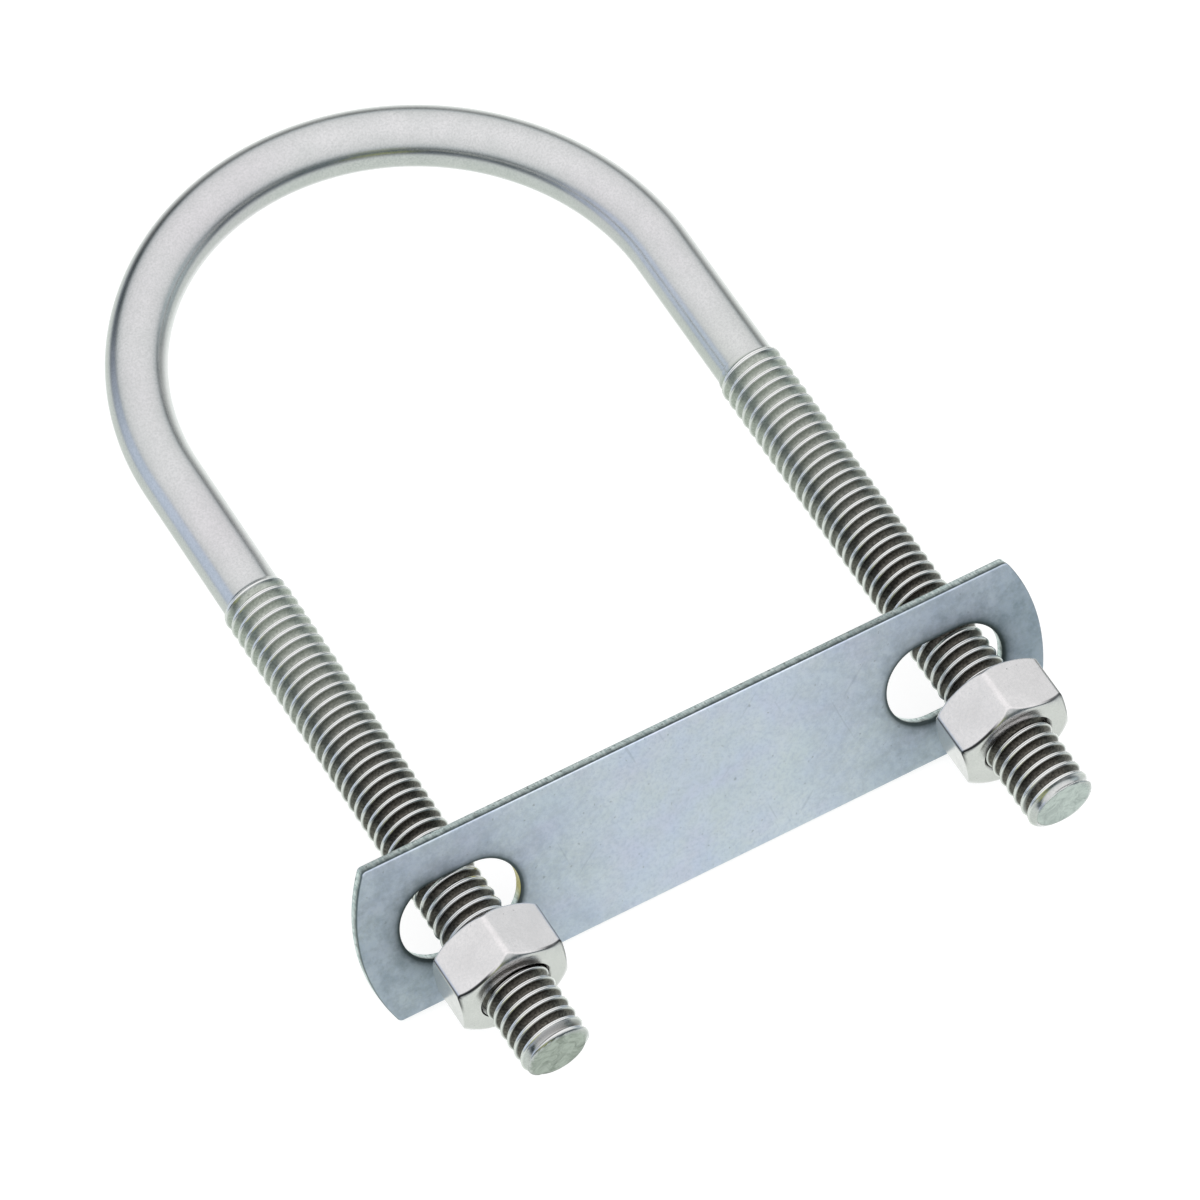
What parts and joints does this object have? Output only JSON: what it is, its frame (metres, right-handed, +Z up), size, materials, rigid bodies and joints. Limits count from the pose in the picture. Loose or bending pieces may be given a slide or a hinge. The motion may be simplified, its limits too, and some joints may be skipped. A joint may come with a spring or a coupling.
{
  "type": "u-bolt with backing plate",
  "caption": "Round-bend threaded U-bolt with a loose slotted backing plate and hex nuts, for clamping a pipe, tube or rail.",
  "frame": {"origin": "centre of the bend, on the axis of a round pipe held in it, midway between the legs and at the middle of the rod", "axes": "the U lies flat in the XY plane: +Y from the rod ends towards the bend, +X from the left leg to the right leg with the nuts nearest the viewer, +Z up out of the plane of the U"},
  "size_m": [0.085, 0.1186, 0.0188],
  "materials": {
    "rod_steel": "satin stainless rod with bright rolled thread crests",
    "plate_steel": "satin blue-grey rolled strip with fine scratches and sheared edges",
    "nut_steel": "bright satin stainless"
  },
  "bodies": {
    "u_bolt": {"u_bolt": "rod_steel"},
    "backing_plate": {"backing_plate": "plate_steel"},
    "left_hex_nut": {"left_hex_nut": "nut_steel"},
    "right_hex_nut": {"right_hex_nut": "nut_steel"}
  },
  "joints": [
    {"name": "plate_travel", "type": "slide", "parent": "u_bolt", "child": "backing_plate", "axis": [0, 1, 0], "range_m": [-0.00847, 0.04797]},
    {"name": "left_nut_turn", "type": "hinge", "parent": "backing_plate", "child": "left_hex_nut", "pos_m": [-0.03132, -0.0715, 0], "axis": [0, 1, 0], "range_deg": [-2160, 12240]},
    {"name": "right_nut_turn", "type": "hinge", "parent": "backing_plate", "child": "right_hex_nut", "pos_m": [0.03132, -0.0715, 0], "axis": [0, 1, 0], "range_deg": [-2160, 12240]}
  ],
  "couplings": [
    {"joint": "left_nut_turn", "follows": "plate_travel", "rad_per_m": 4453},
    {"joint": "right_nut_turn", "follows": "plate_travel", "rad_per_m": 4453}
  ]
}
